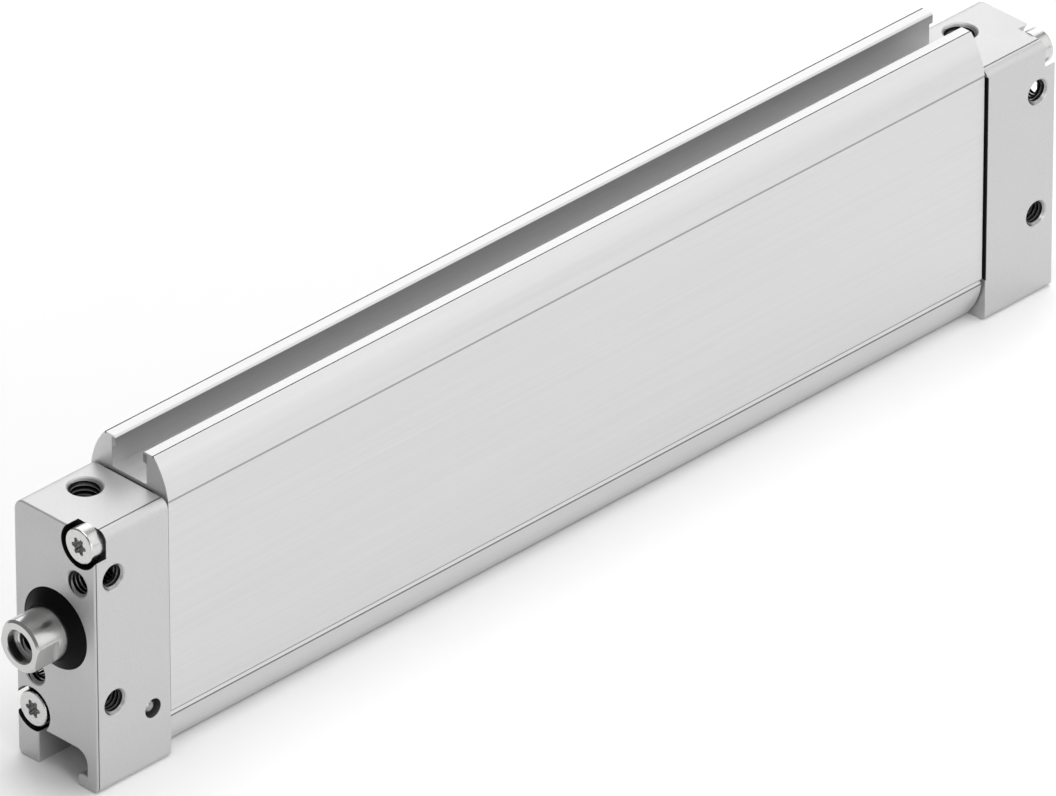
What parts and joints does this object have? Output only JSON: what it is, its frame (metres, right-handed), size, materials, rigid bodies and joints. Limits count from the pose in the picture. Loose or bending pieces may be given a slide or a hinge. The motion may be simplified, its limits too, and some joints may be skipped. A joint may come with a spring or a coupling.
{
  "type": "flat pneumatic cylinder",
  "caption": "Flat double-acting pneumatic cylinder with an oval piston, sensor slots in its extruded barrel, threaded end caps and a rod with an internal thread.",
  "frame": {"origin": "on the piston rod's axis, in the front face of the front cap", "axes": "+X along the rod, the way it extends; +Z towards the supply ports; +Y the wide side with the sealing ball, on the left when looking along +X with the ports up"},
  "size_m": [0.1993, 0.016, 0.0475],
  "materials": {
    "cap_aluminium": "machined cast aluminium, clear anodised, fine matt",
    "barrel_aluminium": "extruded aluminium, clear anodised, fine lengthwise lines",
    "screw_steel": "zinc-plated steel, bright",
    "rod_steel": "stainless steel, turned and polished",
    "black_rubber": "black nitrile rubber, satin",
    "gasket_rubber": "black nitrile rubber sheet, matt",
    "bronze": "sintered bronze, matt",
    "guide_plastic": "natural acetal, satin",
    "magnet_nickel": "nickel-plated magnet"
  },
  "bodies": {
    "housing": {"front_cap": "cap_aluminium", "rear_cap": "cap_aluminium", "barrel": "barrel_aluminium", "front_gasket": "gasket_rubber", "rear_gasket": "gasket_rubber", "front_spigot_seal": "black_rubber", "rear_spigot_seal": "black_rubber", "front_buffer": "black_rubber", "rear_buffer": "black_rubber", "front_screws": "screw_steel", "rear_screws": "screw_steel", "sealing_ball": "screw_steel", "rod_wiper": "black_rubber", "seal_support_ring": "guide_plastic", "rod_seal": "black_rubber", "rod_bushing": "bronze"},
    "rod_assembly": {"piston_rod": "rod_steel", "piston_front_half": "cap_aluminium", "piston_rear_half": "cap_aluminium", "piston_seal_front": "black_rubber", "piston_seal_rear": "black_rubber", "piston_guide_band": "guide_plastic", "piston_magnet_top": "magnet_nickel", "piston_magnet_bottom": "magnet_nickel", "rod_o_ring": "black_rubber", "piston_washer": "screw_steel", "piston_nut": "screw_steel"}
  },
  "joints": [
    {"name": "rod_slide", "type": "slide", "parent": "housing", "child": "rod_assembly", "axis": [1, 0, 0], "range_m": [0, 0.125]}
  ]
}
